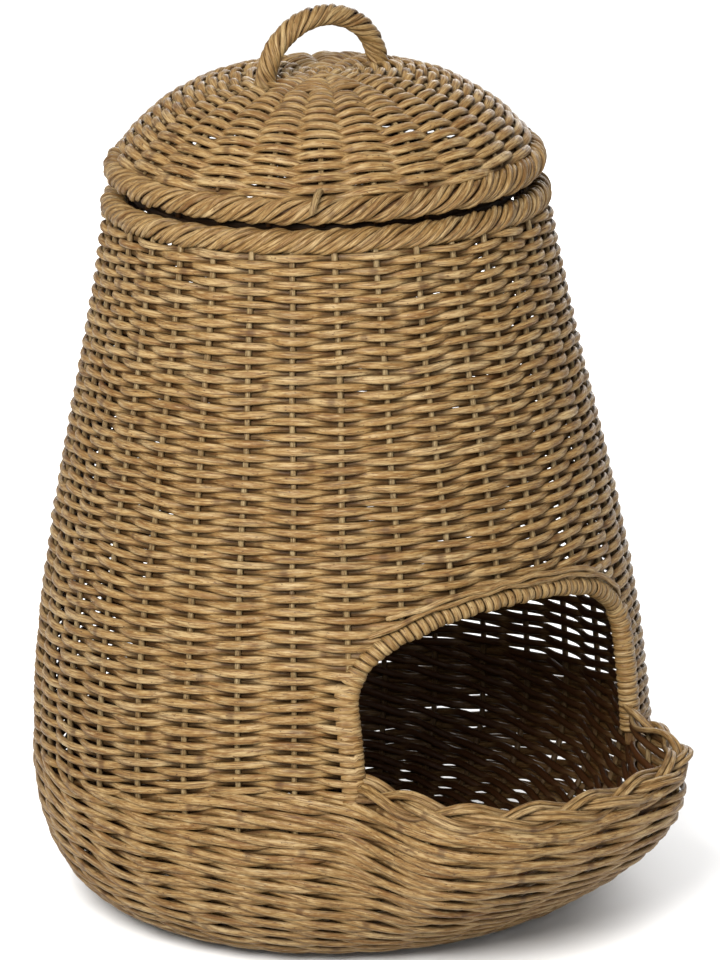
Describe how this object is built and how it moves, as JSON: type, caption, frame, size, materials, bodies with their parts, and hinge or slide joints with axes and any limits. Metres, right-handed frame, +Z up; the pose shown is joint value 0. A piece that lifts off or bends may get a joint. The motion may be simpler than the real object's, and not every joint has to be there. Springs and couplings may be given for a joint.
{
  "type": "wicker pet basket",
  "caption": "Tall round woven cane pet basket with an arched doorway, a bulging front lip and a domed lid with a loop handle that lifts off.",
  "frame": {"origin": "centre of the flat woven base, on the surface the basket stands on", "axes": "+Z up, -Y out of the doorway, +X to the right of someone facing the doorway"},
  "size_m": [0.452, 0.526, 0.6522],
  "materials": {
    "weavers": "satin",
    "stakes": "satin",
    "sticks": "matte",
    "ropes": "satin",
    "wrapping": "satin"
  },
  "bodies": {
    "basket": {"base_weave": "weavers", "base_slath": "sticks", "base_sticks": "sticks", "lower_wale": "weavers", "upper_wale": "weavers", "lip_wale": "weavers", "lower_wall": "weavers", "upper_wall": "weavers", "wall_stakes": "stakes", "header_stakes": "stakes", "arch_rod": "sticks", "arch_wrap": "wrapping", "lip_rows": "weavers", "lip_stakes": "stakes", "lip_braid": "ropes", "rim_rope": "ropes"},
    "lid": {"lid_weave": "weavers", "lid_slath": "sticks", "lid_spokes": "stakes", "lid_spoke_tails": "stakes", "lid_rope": "ropes", "handle_core": "sticks", "handle_wrap": "wrapping"}
  },
  "joints": [
    {"name": "lid_lift", "type": "slide", "parent": "basket", "child": "lid", "axis": [0, 0, 1], "range_m": [0, 0.16]}
  ]
}
